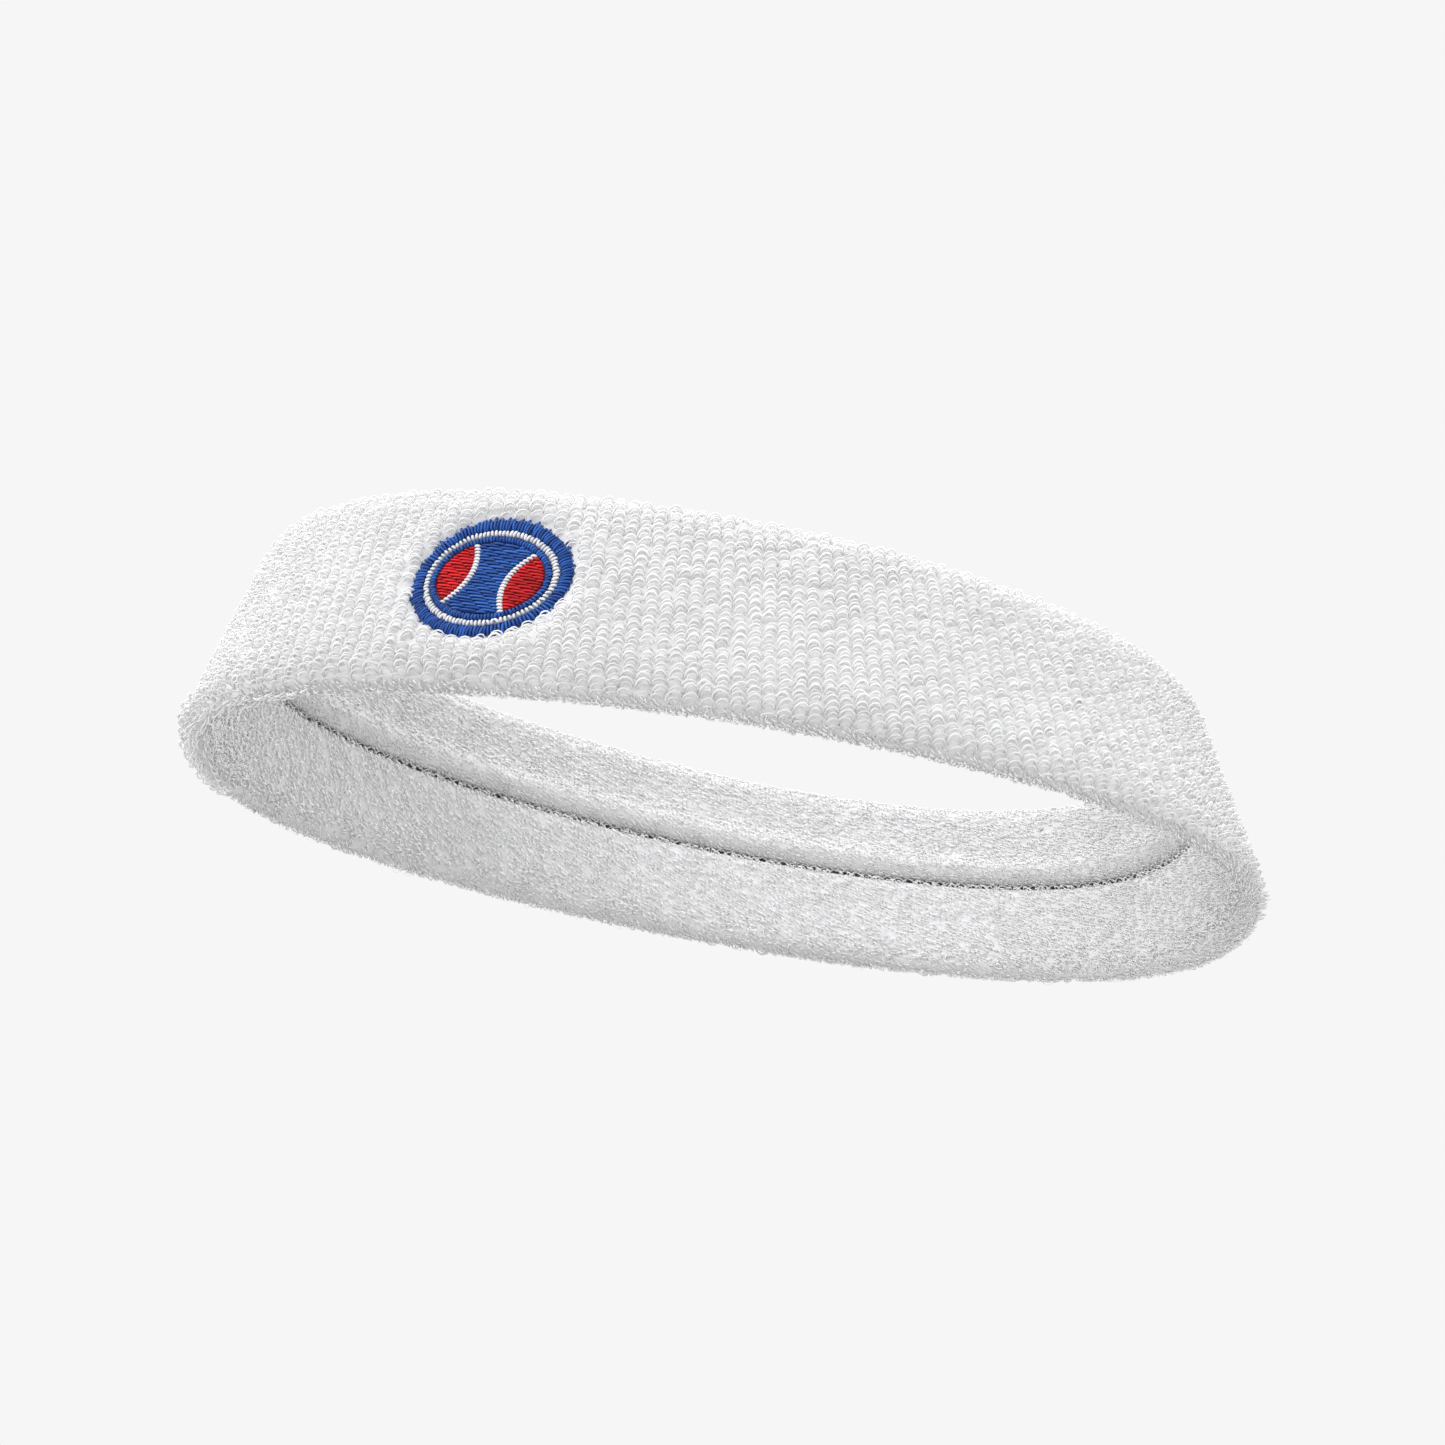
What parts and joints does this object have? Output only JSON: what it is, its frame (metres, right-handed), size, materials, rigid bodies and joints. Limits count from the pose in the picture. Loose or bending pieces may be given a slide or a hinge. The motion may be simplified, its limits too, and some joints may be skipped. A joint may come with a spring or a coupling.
{
  "type": "terry sports headband",
  "caption": "Folded terry-knit sports headband in a worn oval, with an inside overlock seam, inlaid elastic yarns and an embroidered oval ball badge.",
  "frame": {"origin": "middle of the band's bounding box at the plane of its lower rim, which it stands on", "axes": "+Z along the band's axis, towards its upper rim; +X along the oval's length; the badge is on the -Y side, left of the middle"},
  "size_m": [0.2287, 0.126, 0.042],
  "materials": {
    "terry_cotton": "looped cotton pile, white",
    "ground_yarn": "fine polyester ground knit, white",
    "seam_yarn": "textured overlock yarn, white",
    "elastic_yarn": "covered elastane yarn, off-white",
    "backing": "non-woven tear-away backing",
    "embroidery_blue": "trilobal embroidery thread, royal blue sheen",
    "embroidery_red": "trilobal embroidery thread, red sheen",
    "embroidery_white": "trilobal embroidery thread, white sheen"
  },
  "bodies": {
    "root": {"terry_pile": "terry_cotton", "ground_knit": "ground_yarn", "seam_overlock_thread": "seam_yarn", "elastic_yarn_1": "elastic_yarn", "elastic_yarn_2": "elastic_yarn", "elastic_yarn_3": "elastic_yarn", "elastic_yarn_4": "elastic_yarn", "embroidery_backing": "backing", "bobbin_stitching": "seam_yarn", "badge_border_blue": "embroidery_blue", "badge_inline_white": "embroidery_white", "badge_outline_blue": "embroidery_blue", "badge_panel_middle_blue": "embroidery_blue", "badge_panel_left_red": "embroidery_red", "badge_panel_right_red": "embroidery_red", "badge_ball_seam_left_white": "embroidery_white", "badge_ball_seam_right_white": "embroidery_white"}
  },
  "joints": []
}
